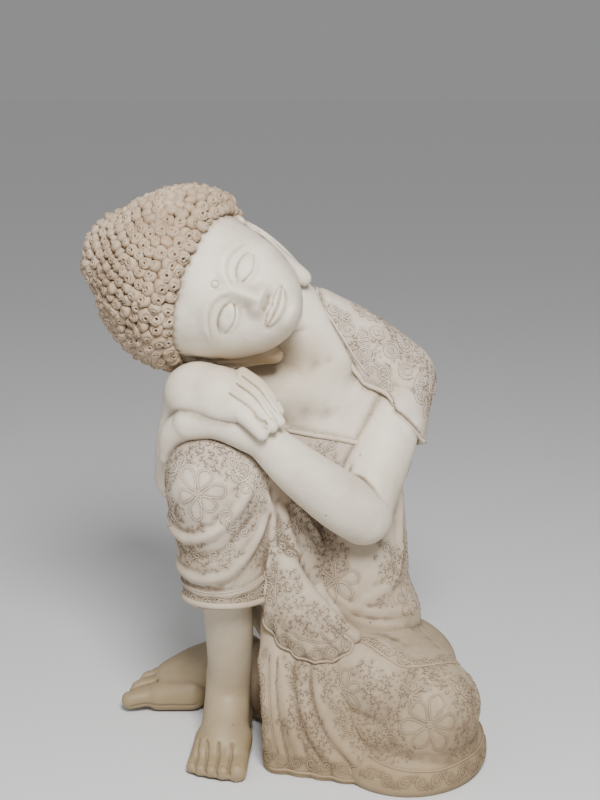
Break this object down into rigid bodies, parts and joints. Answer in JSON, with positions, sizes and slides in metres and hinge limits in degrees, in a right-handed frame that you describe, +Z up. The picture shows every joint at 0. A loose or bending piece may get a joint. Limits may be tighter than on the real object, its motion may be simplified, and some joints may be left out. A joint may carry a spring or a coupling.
{
  "type": "seated statue",
  "caption": "Cast stone statue of a seated robed figure asleep with its head on stacked hands over a raised knee, with snail-shell curls.",
  "frame": {"origin": "on the ground under the middle of the figure's bounding box", "axes": "+Z up; the figure faces -Y; its own left side is at +X and its own right side, with the raised knee, at -X"},
  "size_m": [0.2052, 0.1522, 0.2941],
  "materials": {
    "skin_stone": "matte cream cast stone with small pinholes",
    "robe_stone": "matte cast stone with a brown wash in the relief",
    "hair_stone": "matte cast stone with a tan-brown wash",
    "dowel_steel": "plain steel rod"
  },
  "bodies": {
    "root": {"left_arm": "skin_stone", "right_arm": "skin_stone", "head": "skin_stone", "chest_and_neck": "skin_stone", "raised_foot": "skin_stone", "folded_foot": "skin_stone", "hair_cap": "hair_stone", "raised_leg_robe": "robe_stone", "front_drape": "robe_stone", "folded_leg_robe": "robe_stone", "robed_torso": "robe_stone", "neck_dowel": "dowel_steel", "left_shoulder_dowel": "dowel_steel", "right_shoulder_dowel": "dowel_steel", "hip_dowel": "dowel_steel", "raised_shin_dowel": "dowel_steel", "lap_dowel": "dowel_steel", "drape_dowel": "dowel_steel", "folded_foot_dowel": "dowel_steel"}
  },
  "joints": []
}
